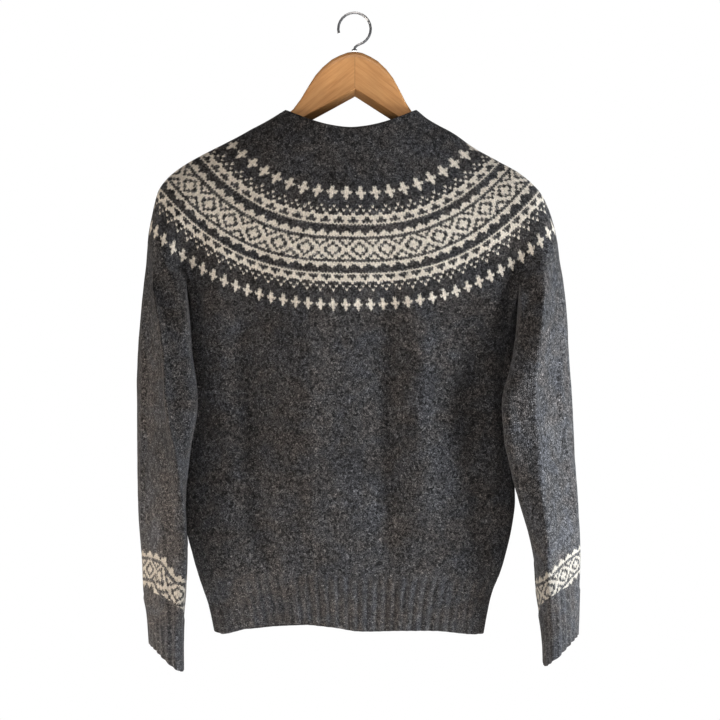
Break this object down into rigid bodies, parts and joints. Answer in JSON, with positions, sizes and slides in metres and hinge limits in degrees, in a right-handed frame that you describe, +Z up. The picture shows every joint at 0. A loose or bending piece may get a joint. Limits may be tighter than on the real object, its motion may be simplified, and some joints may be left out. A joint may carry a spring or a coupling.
{
  "type": "fair isle pullover on a wooden hanger",
  "caption": "Knitted pullover with a patterned round yoke, patterned cuff bands, ribbed hem and cuffs, hung by its shoulders on a wooden hanger with a wire hook.",
  "frame": {"origin": "inside top of the hanger's hook, where a rail carries it", "axes": "+Z up, the garment's front faces -Y, +X to the right of someone who looks at the front"},
  "size_m": [0.5653, 0.111, 0.8355],
  "materials": {
    "charcoal_knit": "brushed wool",
    "patterned_knit": "brushed wool",
    "charcoal_rib": "brushed wool",
    "hanger_wood": "satin lacquer",
    "hook_steel": "bright wire"
  },
  "bodies": {
    "root": {"neckband": "charcoal_knit", "yoke": "patterned_knit", "body_front": "charcoal_knit", "body_back": "charcoal_knit", "hem_rib": "charcoal_rib", "sleeve_left": "charcoal_knit", "sleeve_right": "charcoal_knit", "cuff_left": "charcoal_rib", "cuff_right": "charcoal_rib", "hanger": "hanger_wood", "hanger_hook": "hook_steel"}
  },
  "joints": []
}
